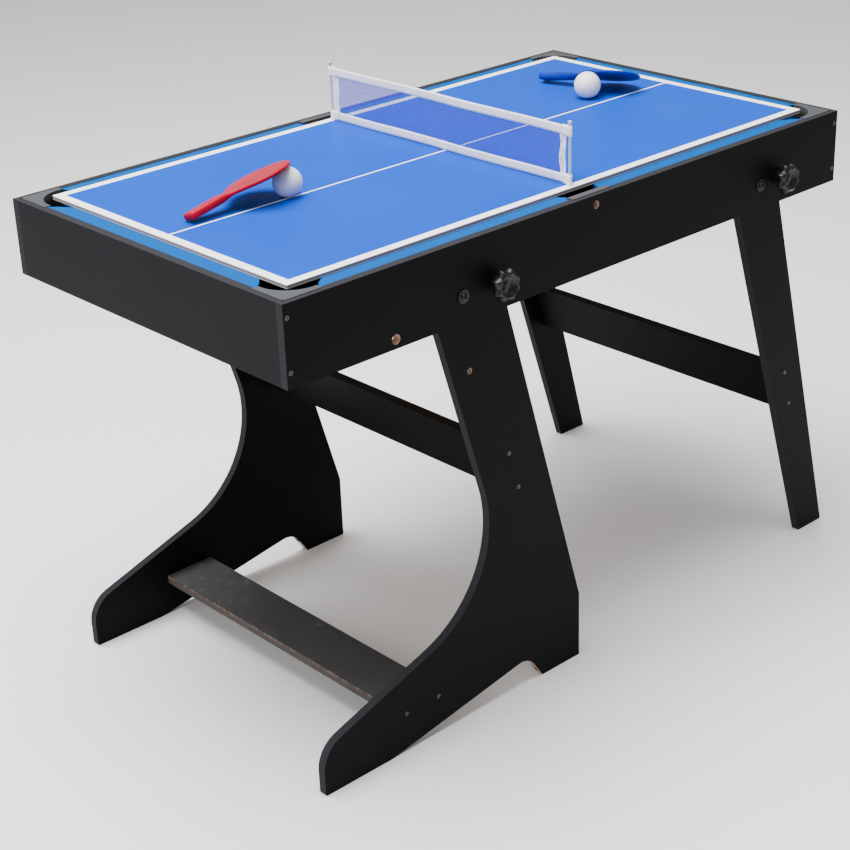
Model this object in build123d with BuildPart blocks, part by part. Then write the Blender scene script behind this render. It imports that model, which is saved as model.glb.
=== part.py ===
"""Folding games table: a small six-pocket pool table with a table-tennis board laid over it.

Frame: +X runs along the table towards the straight legs, +Y runs across it to the far side,
and +Z is up. The floor is Z = 0. The origin lies on the floor under the middle of the whole
outline, which is a little beyond the middle of the top, because the straight legs are splayed.
"""

from build123d import *
from math import atan2, cos, degrees, radians, sin
import os

os.makedirs("parts", exist_ok=True)

# ---------------------------------------------------------------- driving dimensions (mm)

# Overall
top_length = 1040
top_width = 572
rim_height = 696
foot_overhang = 43  # how far the straight feet reach beyond the right-hand end
apron_height = 106
apron_thickness = 12
panel_thickness = 12.5  # legs and rails
panel_gap = 4.2  # between an apron and a leg panel

# Bed, cloth and cushions
bed_thickness = 6
cloth_thickness = 1
cloth_depth = 26  # from the rim down to the cloth
groove_depth = 5
cushion_drop = 2  # cushion tops below the rim
cushion_width = 36

# Pockets
plate_inset = 7.5  # from the outer face of the apron to the plate
plate_thickness = 4
plate_proud = 0.8
corner_reach = 66  # corner plate, from the outer corner along each side
corner_mouth_offset = 61.5  # centre of the round mouth, from both outer faces
corner_mouth_radius = 44
side_plate_half = 36
side_plate_depth = 11
plate_fit = 0.4  # all round, in its notch
side_mouth_half = 27
side_cup_half = 36
side_mouth_depth = 60  # from the outer face to the inner wall of the cup
cup_wall = 2
cup_floor_drop = 68  # from the rim down to the inside of the cup

# Fold pivots, lock knobs and holes, measured from the left end and down from the rim
stand_pivot_from_left = 279.5
leg_pivot_from_left = 864.5
pivot_drop = 71
stand_knob_offset = (56, 4)  # from the pivot, along X and Z
leg_knob_offset = (38, 5)
storage_offset = (112, 22.5)  # storage hole, left of and below the stand pivot
storage_hole_radius = 6.5
accessory_hole_drop = 13.3
accessory_hole_radius = 5.5

# Hardware
bolt_radius = 3  # M6
running_gap = 0.06  # radial
washer_radius = 9
washer_thickness = 1.6
knob_radius = 22.5
knob_proud = 26
spigot_radius = 6.4
nut_hole_radius = 4.5  # hole for a T-nut in a leg panel
screw_radius = 1.75
screw_head_radius = 3.2
screw_head_depth = 1.5
screw_grip = 32  # length of screw in the piece that it draws up
rail_width = 80

# Table-tennis board and net
tennis_margin = 38
tennis_thickness = 5
net_height = 79
net_post_height = 84
net_post_radius = 2
net_post_margin = 8  # from the edge of the board
tape_width = 12

# Bats and balls
ball_radius = 20
bat_length = 167
bat_width = 88
bat_thickness = 5

# ---------------------------------------------------------------- derived places

left_x = -(top_length + foot_overhang) / 2
right_x = left_x + top_length
mid_x = (left_x + right_x) / 2
side_y = top_width / 2
apron_inner_y = side_y - apron_thickness
panel_outer_y = apron_inner_y - panel_gap
panel_inner_y = panel_outer_y - panel_thickness
apron_bottom = rim_height - apron_height

cloth_top = rim_height - cloth_depth
bed_top = cloth_top - cloth_thickness
bed_bottom = bed_top - bed_thickness
cushion_top = rim_height - cushion_drop
cup_floor = rim_height - cup_floor_drop
plate_floor = rim_height + plate_proud - plate_thickness

stand_pivot = (left_x + stand_pivot_from_left, rim_height - pivot_drop)
leg_pivot = (left_x + leg_pivot_from_left, rim_height - pivot_drop)
stand_knob = (stand_pivot[0] + stand_knob_offset[0], stand_pivot[1] + stand_knob_offset[1])
leg_knob = (leg_pivot[0] + leg_knob_offset[0], leg_pivot[1] + leg_knob_offset[1])
storage_hole = (stand_pivot[0] - storage_offset[0], stand_pivot[1] - storage_offset[1])
# The same hole in the leg panel: a quarter turn about the pivot brings it to the storage hole.
stand_storage = (stand_pivot[0] + storage_offset[1], stand_pivot[1] - storage_offset[0])
accessory_hole = (mid_x, rim_height - accessory_hole_drop)

board_top = cushion_top + tennis_thickness
board_half_length = top_length / 2 - tennis_margin
board_half_width = top_width / 2 - tennis_margin
net_post_y = board_half_width - net_post_margin

near_sides = ((-1, "near"), (1, "far"))
ends = ((-1, "left"), (1, "right"))


# ---------------------------------------------------------------- helpers


def save(builder, name):
    """Label a finished piece and write its STEP file."""
    builder.part.label = name
    export_step(builder.part, f"parts/{name}.step")


def across(y):
    """Upright plane at a given Y: its own x is world X and its own y is world Z."""
    return Plane(origin=(0, y, 0), x_dir=(1, 0, 0), z_dir=(0, -1, 0))


def discs(points, radius, y, depth, mode=Mode.ADD):
    """Round solids or holes that start at a given Y and run towards +Y, or -Y if depth is negative."""
    with BuildSketch(across(y)) as circles:
        with Locations(points):
            Circle(radius)
    extrude(circles.sketch, amount=-depth, mode=mode)


def drilled(points, radius, y, depth):
    """Round holes from a plane across the table."""
    discs(points, radius, y, depth, Mode.SUBTRACT)


def far_twin(builder):
    """The same piece on the far side of the table."""
    with BuildPart() as twin:
        mirror(builder.part, about=Plane.XZ)
    return twin


def both_sides(builder):
    """One piece of hardware on the near side together with its far twin."""
    with BuildPart() as pair:
        add(builder.part)
        mirror(builder.part, about=Plane.XZ)
    return pair


def hex_sockets(points, radius, y, depth):
    """Hexagonal recesses in screw heads."""
    with BuildSketch(across(y)) as sockets:
        with Locations(points):
            RegularPolygon(radius, 6)
    extrude(sockets.sketch, amount=-depth, mode=Mode.SUBTRACT)


# ---------------------------------------------------------------- aprons


def plate_notches():
    """Shallow recesses in the top of the aprons, into which the six pocket plates are let."""
    with BuildSketch(Plane.XY.offset(plate_floor)) as notches:
        with Locations((mid_x, 0)):
            with GridLocations(top_length, top_width, 2, 2):
                Rectangle(2 * corner_reach, 2 * corner_reach)
            with GridLocations(0, top_width, 1, 2):
                Rectangle(2 * side_plate_half, 2 * corner_reach)
            Rectangle(top_length - 2 * plate_inset, top_width - 2 * plate_inset, mode=Mode.INTERSECT)
    extrude(notches.sketch, amount=plate_thickness, mode=Mode.SUBTRACT)


def bed_groove():
    """Groove all round, in which the edge of the bed board sits."""
    wall_left = apron_thickness - groove_depth
    with BuildSketch(Plane.XY.offset(bed_bottom)) as groove:
        with Locations((mid_x, 0)):
            Rectangle(top_length - 2 * wall_left, top_width - 2 * wall_left)
    extrude(groove.sketch, amount=bed_thickness, mode=Mode.SUBTRACT)


apron_screw_x = (left_x + apron_thickness / 2, right_x - apron_thickness / 2)
apron_screw_z = (rim_height - 18, rim_height - 86)
apron_screw_points = [(x, z) for x in apron_screw_x for z in apron_screw_z]

with BuildPart() as side_apron_near:
    with BuildSketch(Plane.XY.offset(apron_bottom)):
        with Locations((mid_x, -side_y + apron_thickness / 2)):
            Rectangle(top_length, apron_thickness)
    extrude(amount=apron_height)
    plate_notches()
    bed_groove()
    drilled([stand_pivot, leg_pivot], bolt_radius, -side_y, apron_thickness)
    drilled([stand_knob, leg_knob], spigot_radius + running_gap, -side_y, apron_thickness)
    drilled([storage_hole], storage_hole_radius, -side_y, apron_thickness)
    drilled([accessory_hole], accessory_hole_radius, -side_y, 9)
    drilled(apron_screw_points, screw_radius, -side_y, apron_thickness)
    drilled(apron_screw_points, screw_head_radius, -side_y, screw_head_depth)
save(side_apron_near, "side_apron_near")
save(far_twin(side_apron_near), "side_apron_far")

for side, word in ends:
    with BuildPart() as end_apron:
        with BuildSketch(Plane.XY.offset(apron_bottom)):
            with Locations((mid_x + side * (top_length - apron_thickness) / 2, 0)):
                Rectangle(apron_thickness, 2 * apron_inner_y)
        extrude(amount=apron_height)
        plate_notches()
        bed_groove()
        drilled(apron_screw_points, screw_radius, -apron_inner_y, screw_grip)
        drilled(apron_screw_points, screw_radius, apron_inner_y, -screw_grip)
    save(end_apron, f"end_apron_{word}")


def screw_set(points, y, length):
    """Countersunk screws on the near side, driven in at a given Y, with their far twins."""
    with BuildPart() as screws:
        discs(points, screw_radius, y, length)
        discs(points, screw_head_radius, y, screw_head_depth)
        hex_sockets(points, 1.3, y, 0.9)
    return both_sides(screws)


save(screw_set(apron_screw_points, -side_y, apron_thickness + screw_grip), "apron_screws")


# ---------------------------------------------------------------- bed, cloth, support rails

cup_chord = corner_mouth_offset * 2 + 2 * cup_wall  # x + y along the diagonal wall of a corner cup
cup_inner_chord = cup_chord - 3 * cup_wall


def bed_outline(height, half_length, half_width):
    """Rectangle with its corners cut off for the corner cups and two notches for the side cups."""
    cut = cup_chord - (top_length / 2 - half_length) - (top_width / 2 - half_width)
    with BuildSketch(Plane.XY.offset(height)) as outline:
        with Locations((mid_x, 0)):
            Rectangle(2 * half_length, 2 * half_width)
        chamfer(outline.vertices(), cut)
        with Locations((mid_x, 0)):
            with GridLocations(0, top_width, 1, 2):
                notch_width = 2 * (side_cup_half + cup_wall)
                Rectangle(notch_width, 2 * (side_mouth_depth + cup_wall), mode=Mode.SUBTRACT)
    return outline.sketch


with BuildPart() as bed_board:
    wall_beyond_groove = apron_thickness - groove_depth
    half_bed = (top_length / 2 - wall_beyond_groove, top_width / 2 - wall_beyond_groove)
    extrude(bed_outline(bed_bottom, *half_bed), amount=bed_thickness)
save(bed_board, "bed_board")

with BuildPart() as bed_cloth:
    extrude(bed_outline(bed_top, top_length / 2 - apron_thickness, apron_inner_y), amount=cloth_thickness)
save(bed_cloth, "bed_cloth")

for side, word in ends:
    with BuildPart() as bed_rail:
        with BuildSketch(Plane.XY.offset(bed_bottom - 30)):
            with Locations((mid_x + side * 105, 0)):
                Rectangle(apron_thickness, 2 * apron_inner_y)
        extrude(amount=30)
    save(bed_rail, f"bed_rail_{word}")


# ---------------------------------------------------------------- cushions

cushion_height = cushion_top - cloth_top


def cushion_profile(plane):
    """Section of a cushion: its back stands at x = 0 against the apron, its nose looks along +x."""
    with BuildSketch(plane) as section:
        with BuildLine():
            Polyline(
                (cushion_width - 5, cushion_height),
                (0, cushion_height),
                (0, 0),
                (cushion_width - 12, 0),
                (cushion_width, cushion_height - 9),
                (cushion_width, cushion_height - 5),
            )
            ThreePointArc(
                (cushion_width, cushion_height - 5),
                (cushion_width - 1.5, cushion_height - 1.5),
                (cushion_width - 5, cushion_height),
            )
        make_face()
    return section.sketch


def cushion_plan(points):
    """Plan of a cushion between its mitred ends, as a solid that trims the moulding."""
    with BuildSketch(Plane.XY.offset(cloth_top)) as plan:
        with BuildLine():
            Polyline(*points, close=True)
        make_face()
    return plan.sketch


mitre_start = 7  # the ends stand square for this far out from the apron, then slant
corner_slant = 1.25 * (cushion_width + 1 - mitre_start)
side_slant = 14


def end_cushion(side):
    """Cushion across one end, mitred at both corner pockets."""
    back = mid_x + side * (top_length / 2 - apron_thickness)
    nose = back - side * (cushion_width + 1)
    knee = back - side * mitre_start
    half = side_y - corner_reach
    with BuildPart() as cushion:
        section_plane = Plane(origin=(back, -side * side_y, cloth_top), x_dir=(-side, 0, 0), z_dir=(0, side, 0))
        extrude(cushion_profile(section_plane), amount=top_width)
        near_end = [(back, -half), (knee, -half), (nose, -half + corner_slant)]
        far_end = [(nose, half - corner_slant), (knee, half), (back, half)]
        extrude(cushion_plan(near_end + far_end), amount=cushion_height, mode=Mode.INTERSECT)
    return cushion


def side_cushion(end, side):
    """Cushion along half of one long side, from a corner pocket to the side pocket."""
    back = side * apron_inner_y
    nose = back - side * (cushion_width + 1)
    knee = back - side * mitre_start
    outer = mid_x + end * (top_length / 2 - corner_reach)
    inner = mid_x + end * side_mouth_half
    with BuildPart() as cushion:
        start = mid_x + side * top_length / 2
        section_plane = Plane(origin=(start, back, cloth_top), x_dir=(0, -side, 0), z_dir=(-side, 0, 0))
        extrude(cushion_profile(section_plane), amount=top_length)
        middle_end = [(inner, back), (inner, knee), (inner + end * side_slant, nose)]
        corner_end = [(outer - end * corner_slant, nose), (outer, knee), (outer, back)]
        extrude(cushion_plan(middle_end + corner_end), amount=cushion_height, mode=Mode.INTERSECT)
        with BuildSketch(Plane.XY.offset(plate_floor)) as under_plate:
            with Locations((mid_x, side * side_y)):
                Rectangle(2 * side_plate_half, 2 * (plate_inset + side_plate_depth))
        extrude(under_plate.sketch, amount=plate_thickness, mode=Mode.SUBTRACT)
    return cushion


for end, end_word in ends:
    save(end_cushion(end), f"cushion_end_{end_word}")
    for side, side_word in near_sides:
        save(side_cushion(end, side), f"cushion_{side_word}_{end_word}")


# ---------------------------------------------------------------- pockets

mouth_centre = (left_x + corner_mouth_offset, -side_y + corner_mouth_offset)


def cut_disc(height, radius, chord):
    """Plan of a corner cup at the left near corner: a disc cut off along a diagonal chord."""
    with BuildSketch(Plane.XY.offset(height)) as plan:
        with Locations(mouth_centre):
            Circle(radius)
        with BuildLine():
            Polyline(
                (left_x, -side_y),
                (left_x + chord, -side_y),
                (left_x, -side_y + chord),
                close=True,
            )
        make_face(mode=Mode.INTERSECT)
    return plan.sketch


def corner_plate():
    """Plan of the L-shaped plate round the mouth of a corner pocket."""
    with BuildSketch(Plane.XY.offset(plate_floor)) as plan:
        start = plate_inset + plate_fit
        with Locations((left_x + start, -side_y + start)):
            Rectangle(corner_reach - start, corner_reach - start, align=(Align.MIN, Align.MIN))
        fillet(plan.vertices().group_by(Axis.X)[0].sort_by(Axis.Y)[0], 5)
        with Locations(mouth_centre):
            Circle(corner_mouth_radius, mode=Mode.SUBTRACT)
            Rectangle(60, 60, align=(Align.MIN, Align.MIN), mode=Mode.SUBTRACT)
    return plan.sketch


def throat():
    """Plan of all that lies on the table's side of the plate and of the diagonal wall."""
    reach = cup_chord + 40
    knee = cup_inner_chord - corner_reach
    with BuildSketch(Plane.XY.offset(cloth_top)) as plan:
        with BuildLine():
            Polyline(
                (left_x + corner_reach, -side_y - 1),
                (left_x + reach, -side_y - 1),
                (left_x + reach, -side_y + reach),
                (left_x - 1, -side_y + reach),
                (left_x - 1, -side_y + corner_reach),
                (left_x + knee, -side_y + corner_reach),
                (left_x + corner_reach, -side_y + knee),
                close=True,
            )
        make_face()
    return plan.sketch


with BuildPart() as first_corner:
    outer_cup = cut_disc(cup_floor - cup_wall, corner_mouth_radius + cup_wall, cup_chord)
    extrude(outer_cup, amount=plate_floor - cup_floor + cup_wall)
    extrude(corner_plate(), amount=plate_thickness)
    extrude(throat(), amount=plate_floor - cloth_top, mode=Mode.SUBTRACT)
    inner_cup = cut_disc(cup_floor, corner_mouth_radius, cup_inner_chord)
    extrude(inner_cup, amount=rim_height + 5 - cup_floor, mode=Mode.SUBTRACT)

for end, end_word in ends:
    with BuildPart() as near_corner:
        if end < 0:
            add(first_corner.part)
        else:
            mirror(first_corner.part, about=Plane.YZ.offset(mid_x))
    save(near_corner, f"corner_pocket_near_{end_word}")
    save(far_twin(near_corner), f"corner_pocket_far_{end_word}")


def side_box(height, half_length, y_from_edge, width):
    """Rectangle across the middle of the near side, from a given distance inside the edge."""
    with BuildSketch(Plane.XY.offset(height)) as plan:
        with Locations((mid_x, -side_y + y_from_edge)):
            Rectangle(2 * half_length, width, align=(Align.CENTER, Align.MIN))
    return plan.sketch


with BuildPart() as side_pocket_near:
    cup_length = side_mouth_depth + cup_wall - apron_thickness
    outer_box = side_box(cup_floor - cup_wall, side_cup_half + cup_wall, apron_thickness, cup_length)
    extrude(outer_box, amount=cloth_top - cup_floor + cup_wall)
    neck_depth = plate_inset + side_plate_depth - plate_fit - apron_thickness
    neck_box = side_box(cloth_top, side_mouth_half, apron_thickness, neck_depth)
    extrude(neck_box, amount=plate_floor - cloth_top)
    with BuildSketch(Plane.XY.offset(plate_floor)) as side_plate:
        with Locations((mid_x, -side_y + plate_inset + plate_fit)):
            plate_depth = side_plate_depth - 2 * plate_fit
            Rectangle(2 * (side_plate_half - plate_fit), plate_depth, align=(Align.CENTER, Align.MIN))
        fillet(side_plate.vertices().group_by(Axis.Y)[0], 3)
    extrude(amount=plate_thickness)
    inner_box = side_box(cup_floor, side_cup_half, apron_thickness + cup_wall, cup_length - 2 * cup_wall)
    extrude(inner_box, amount=cloth_top - cup_floor, mode=Mode.SUBTRACT)
save(side_pocket_near, "side_pocket_near")
save(far_twin(side_pocket_near), "side_pocket_far")


# ---------------------------------------------------------------- leg panels and rails

panel_top = bed_bottom - 5


def along_left(z, anchor, slope):
    """X of a leaning edge at height z, from a known point and its run per unit of drop."""
    return anchor[0] + (anchor[1] - z) * slope


def rounded_face(corners):
    """Outline of a near-side leg panel, from its corners and their radii."""
    with BuildSketch(across(-panel_outer_y)) as outline:
        with BuildLine():
            FilletPolyline([point for point, _ in corners], radius=[r for _, r in corners], close=True)
        make_face()
    return outline.sketch


def stand_outline():
    """Curved panel: a neck under the apron, a deep round bay over a long toe, and a heel."""
    neck_slope = 0.297
    back_slope = 0.2795
    toe_slope = 0.325
    neck = (left_x + 251.5, 577.7)
    back = (left_x + 505.5, 102)
    toe_line = (left_x + 153, 109.4)
    toe_x = left_x + 26.5
    # Where the neck line and the toe line would meet under the bay.
    reach = along_left(toe_line[1], neck, neck_slope) - toe_line[0]
    bay_x = toe_line[0] + reach / (1 + neck_slope * toe_slope)
    corners = [
        ((along_left(panel_top, neck, neck_slope), panel_top), 51),
        ((along_left(panel_top, back, back_slope), panel_top), 16),
        (back, 3),
        ((back[0], 0), 2),
        ((left_x + 429.7, 0), 2),
        ((left_x + 401.5, 41.7), 30),
        ((left_x + 141, 0), 40),
        ((toe_x, 0), 3),
        ((toe_x, toe_line[1] - (toe_line[0] - toe_x) * toe_slope), 45),
        ((bay_x, toe_line[1] + (bay_x - toe_line[0]) * toe_slope), 164),
    ]
    return rounded_face(corners)


def leg_outline():
    """Straight panel: splayed outwards, tapering towards its foot, cut level with the floor."""
    inner_slope = 0.3175
    outer_slope = 0.2595
    inner = (left_x + 1024.7, 0)
    outer = (right_x + foot_overhang, 0)
    corners = [
        ((inner[0] - inner_slope * panel_top, panel_top), 50),
        ((outer[0] - outer_slope * panel_top, panel_top), 16),
        (outer, 2),
        (inner, 2),
    ]
    return rounded_face(corners)


stand_rail_middle = (left_x + 378.8, 344.5)
stand_rail_lean = degrees(atan2(16.4, 55.5))
leg_rail_middle = (left_x + 974.2, 268.8)
leg_rail_lean = degrees(atan2(14.2, 54.6))
plank_middle = (left_x + 200, 58.25)
rail_screw_spread = 29


def screw_places(middle, lean):
    """The two screws in the end of a rail, apart along its width."""
    dx = rail_screw_spread * sin(radians(lean))
    dz = rail_screw_spread * cos(radians(lean))
    return [(middle[0] - dx, middle[1] + dz), (middle[0] + dx, middle[1] - dz)]


stand_screw_points = screw_places(stand_rail_middle, stand_rail_lean) + screw_places(plank_middle, 90)
leg_screw_points = screw_places(leg_rail_middle, leg_rail_lean)


def leg_panel(outline, pivot, nut_points, screw_points):
    """One near-side panel with its pivot bore, T-nut holes and countersunk screw holes."""
    with BuildPart() as panel:
        extrude(outline, amount=-panel_thickness)
        drilled([pivot], bolt_radius + running_gap, -panel_outer_y, panel_thickness)
        drilled(nut_points, nut_hole_radius, -panel_outer_y, panel_thickness)
        drilled(screw_points, screw_radius, -panel_outer_y, panel_thickness)
        drilled(screw_points, screw_head_radius, -panel_outer_y, screw_head_depth)
    return panel


def cross_board(middle, lean):
    """Board between two panels: its width leans from the vertical by the given angle."""
    across_board = (cos(radians(lean)), 0, sin(radians(lean)))
    plane = Plane(origin=(middle[0], -panel_inner_y, middle[1]), x_dir=across_board, z_dir=(0, -1, 0))
    points = screw_places(middle, lean)
    with BuildPart() as board:
        with BuildSketch(plane):
            Rectangle(panel_thickness, rail_width)
        extrude(amount=-2 * panel_inner_y)
        drilled(points, screw_radius, -panel_inner_y, screw_grip)
        drilled(points, screw_radius, panel_inner_y, -screw_grip)
    return board


def panel_screws(points):
    """Countersunk screws through both panels into the ends of the rails."""
    return screw_set(points, -panel_outer_y, panel_thickness + screw_grip)


def panel_nuts(points):
    """T-nuts pressed into both panels from the inside: a short barrel and a round flange."""
    with BuildPart() as nuts:
        discs(points, washer_radius, -panel_inner_y, 1.2)
        discs(points, nut_hole_radius, -panel_inner_y, -9)
        drilled(points, bolt_radius, -panel_inner_y - 9, 9 + 1.2)
    return both_sides(nuts)


stand_panel_near = leg_panel(stand_outline(), stand_pivot, [stand_knob, stand_storage], stand_screw_points)
save(stand_panel_near, "stand_panel_near")
save(far_twin(stand_panel_near), "stand_panel_far")
save(cross_board(stand_rail_middle, stand_rail_lean), "stand_rail")
save(cross_board(plank_middle, 90), "stand_foot_plank")
save(panel_screws(stand_screw_points), "stand_screws")
save(panel_nuts([stand_knob, stand_storage]), "stand_t_nuts")

leg_panel_near = leg_panel(leg_outline(), leg_pivot, [leg_knob], leg_screw_points)
save(leg_panel_near, "leg_panel_near")
save(far_twin(leg_panel_near), "leg_panel_far")
save(cross_board(leg_rail_middle, leg_rail_lean), "leg_rail")
save(panel_screws(leg_screw_points), "leg_screws")
save(panel_nuts([leg_knob]), "leg_t_nuts")


# ---------------------------------------------------------------- pivot hardware

bolt_head_height = 3.3
nut_height = 5
pivots = [stand_pivot, leg_pivot]
outer_washer_y = -side_y - washer_thickness
inner_washer_y = -panel_inner_y + 0.2
nut_y = inner_washer_y + washer_thickness


def button_head(pivot):
    """Half section of a button head, in an upright plane through the pivot's axis."""
    plane = Plane(origin=(pivot[0], outer_washer_y, pivot[1]), x_dir=(1, 0, 0), z_dir=(0, 0, 1))
    with BuildSketch(plane) as section:
        with BuildLine():
            Polyline((2.4, -bolt_head_height), (0, -bolt_head_height), (0, 0), (5.2, 0), (5.2, -1))
            ThreePointArc((5.2, -1), (4.2, -2.6), (2.4, -bolt_head_height))
        make_face()
    return section.sketch


def rings(points, y, length, radius):
    """Washers on M6 bolts."""
    discs(points, radius, y, length)
    drilled(points, bolt_radius, y, length)


with BuildPart() as near_bolts:
    for pivot in pivots:
        revolve(button_head(pivot), axis=Axis((pivot[0], 0, pivot[1]), (0, 1, 0)))
    discs(pivots, bolt_radius, outer_washer_y, nut_y + nut_height + 2 - outer_washer_y)
    hex_sockets(pivots, 2.3, outer_washer_y - bolt_head_height, 2)
save(both_sides(near_bolts), "pivot_bolts")

with BuildPart() as near_washers:
    rings(pivots, outer_washer_y, washer_thickness, washer_radius)
    rings(pivots, inner_washer_y, washer_thickness, washer_radius)
save(both_sides(near_washers), "pivot_washers")

with BuildPart() as near_spacers:
    rings(pivots, -apron_inner_y, panel_gap - 0.2, washer_radius)
save(both_sides(near_spacers), "pivot_spacers")

with BuildPart() as near_nuts:
    with BuildSketch(across(nut_y)):
        with Locations(pivots):
            RegularPolygon(5.77, 6)
            Circle(bolt_radius, mode=Mode.SUBTRACT)
    extrude(amount=-nut_height)
save(both_sides(near_nuts), "pivot_nuts")


# ---------------------------------------------------------------- lock knobs

lobe_count = 8
lobe_cut_radius = 6.2
lobe_cut_offset = knob_radius + 2.4
head_back = 14  # the lobes stand this far off the apron


def dish(place):
    """Half section of the dished face of a knob."""
    plane = Plane(origin=(place[0], -side_y - knob_proud, place[1]), x_dir=(1, 0, 0), z_dir=(0, 0, 1))
    with BuildSketch(plane) as section:
        with BuildLine():
            Polyline((0, 5), (0, -1), (14.5, -1), (14.5, 0), (12, 5), (0, 5))
        make_face()
    return section.sketch


def knob_head(place):
    """Star knob on the near side: eight lobes, a dished face, a boss and a spigot."""
    with BuildPart() as head:
        with BuildSketch(across(-side_y - head_back)) as star:
            with Locations(place):
                Circle(knob_radius)
                with PolarLocations(lobe_cut_offset, lobe_count):
                    Circle(lobe_cut_radius, mode=Mode.SUBTRACT)
            fillet(star.vertices(), 2)
        extrude(amount=knob_proud - head_back)
        rims = head.faces().sort_by(Axis.Y)
        chamfer(rims[0].edges() + rims[-1].edges(), 1.6)
        revolve(dish(place), axis=Axis((place[0], 0, place[1]), (0, 1, 0)), mode=Mode.SUBTRACT)
        discs([place], 10, -side_y - head_back, head_back - washer_thickness - 0.1)
        discs([place], spigot_radius, -side_y - washer_thickness - 0.1, apron_thickness + washer_thickness + 0.1)
        drilled([place], bolt_radius, -side_y - head_back - 6, apron_thickness + head_back + 6)
    return head


def knob_stud(place):
    """Threaded stud moulded into the knob, ending level with the inner face of the apron."""
    with BuildPart() as stud:
        discs([place], bolt_radius, -side_y - head_back - 6, apron_thickness + head_back + 6)
    return stud


def knob_washer(place):
    """Plain washer on the spigot, between the boss of the knob and the apron."""
    with BuildPart() as washer:
        discs([place], 12, -side_y - 0.05, -washer_thickness)
        drilled([place], spigot_radius + running_gap, -side_y - 0.05, -washer_thickness)
    return washer


for place, place_word in ((stand_knob, "stand"), (leg_knob, "leg")):
    for make, piece in ((knob_head, "knob"), (knob_stud, "knob_stud"), (knob_washer, "knob_washer")):
        near_piece = make(place)
        save(near_piece, f"{piece}_{place_word}_near")
        save(far_twin(near_piece), f"{piece}_{place_word}_far")


# ---------------------------------------------------------------- table-tennis board and net

with BuildPart() as tennis_board:
    with BuildSketch(Plane.XY.offset(cushion_top)):
        with Locations((mid_x, 0)):
            RectangleRounded(2 * board_half_length, 2 * board_half_width, 2)
            with GridLocations(0, 2 * net_post_y, 1, 2):
                Circle(net_post_radius + running_gap, mode=Mode.SUBTRACT)
    extrude(amount=tennis_thickness)
save(tennis_board, "tennis_board")

for side, side_word in near_sides:
    with BuildPart() as net_post:
        with BuildSketch(Plane.XY.offset(cushion_top)):
            with Locations((mid_x, side * net_post_y)):
                Circle(net_post_radius)
        extrude(amount=tennis_thickness + net_post_height)
        with BuildSketch(Plane.XY.offset(board_top)):
            with Locations((mid_x, side * net_post_y)):
                Circle(net_post_radius + 1.2)
        extrude(amount=1.2)
        with Locations((mid_x, side * net_post_y, board_top + net_post_height)):
            Sphere(net_post_radius + 0.8)
    save(net_post, f"net_post_{side_word}")

sleeve_radius = net_post_radius + 1
tape_half = 0.8


def tape(z_low):
    """Tape across the table, folded into a sleeve round the post at each end."""
    with BuildPart() as strip:
        with BuildSketch(Plane.XY.offset(z_low)):
            with Locations((mid_x, 0)):
                Rectangle(2 * tape_half, 2 * net_post_y)
                with GridLocations(0, 2 * net_post_y, 1, 2):
                    Circle(sleeve_radius)
                    Circle(net_post_radius, mode=Mode.SUBTRACT)
        extrude(amount=tape_width)
    return strip


net_bottom = board_top + 1.5
net_top = board_top + net_height
save(tape(net_top - tape_width), "net_top_tape")
save(tape(net_bottom), "net_bottom_tape")

with BuildPart() as net_end_tapes:
    with BuildSketch(Plane.XY.offset(net_bottom + tape_width)):
        with Locations((mid_x, 0)):
            with GridLocations(0, 2 * (net_post_y - 13), 1, 2):
                Rectangle(2 * tape_half, 8)
    extrude(amount=net_top - net_bottom - 2 * tape_width)
save(net_end_tapes, "net_end_tapes")

with BuildPart() as net_mesh:
    with BuildSketch(Plane.XY.offset(net_bottom + tape_width)):
        with Locations((mid_x, 0)):
            Rectangle(0.8, 2 * (net_post_y - 17))
    extrude(amount=net_top - net_bottom - 2 * tape_width)
save(net_mesh, "net_mesh")


# ---------------------------------------------------------------- bats and balls

handle_length = 62
handle_width = 22
handle_thickness = 11


def bat(plane):
    """One-piece moulded bat: a round flat blade and a rounded handle, lying in the given plane."""
    blade_radius = bat_width / 2
    blade_x = bat_length - blade_radius - 3
    with BuildPart() as paddle:
        with BuildSketch(Plane.XY.offset(-bat_thickness / 2)):
            with Locations((blade_x, 0)):
                Ellipse(blade_radius + 3, blade_radius)
            with BuildLine():
                Line((0, handle_width / 2), (handle_length, handle_width / 2))
                Spline(
                    (handle_length, handle_width / 2),
                    (blade_x - 22, blade_radius - 6.4),
                    tangents=((1, 0.35), (1, 0.8)),
                )
                Line((blade_x - 22, blade_radius - 6.4), (blade_x - 22, -blade_radius + 6.4))
                Spline(
                    (blade_x - 22, -blade_radius + 6.4),
                    (handle_length, -handle_width / 2),
                    tangents=((-1, 0.8), (-1, 0.35)),
                )
                Line((handle_length, -handle_width / 2), (0, -handle_width / 2))
                Line((0, -handle_width / 2), (0, handle_width / 2))
            make_face()
        extrude(amount=bat_thickness)
        with BuildSketch(Plane.YZ):
            RectangleRounded(handle_width, handle_thickness, 3.5)
        extrude(amount=handle_length - 4)
    with BuildPart() as placed:
        add(plane * paddle.part)
    return placed


def bat_plane(origin, heading, pitch, roll):
    """Plane of a bat: its x runs from the butt to the tip, and its z is the face's normal."""
    along = Vector(
        cos(radians(pitch)) * cos(radians(heading)),
        cos(radians(pitch)) * sin(radians(heading)),
        sin(radians(pitch)),
    )
    level = Vector(-sin(radians(heading)), cos(radians(heading)), 0)
    upright = along.cross(level)
    normal = upright * cos(radians(roll)) - level * sin(radians(roll))
    return Plane(origin=origin, x_dir=along, z_dir=normal)


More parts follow.
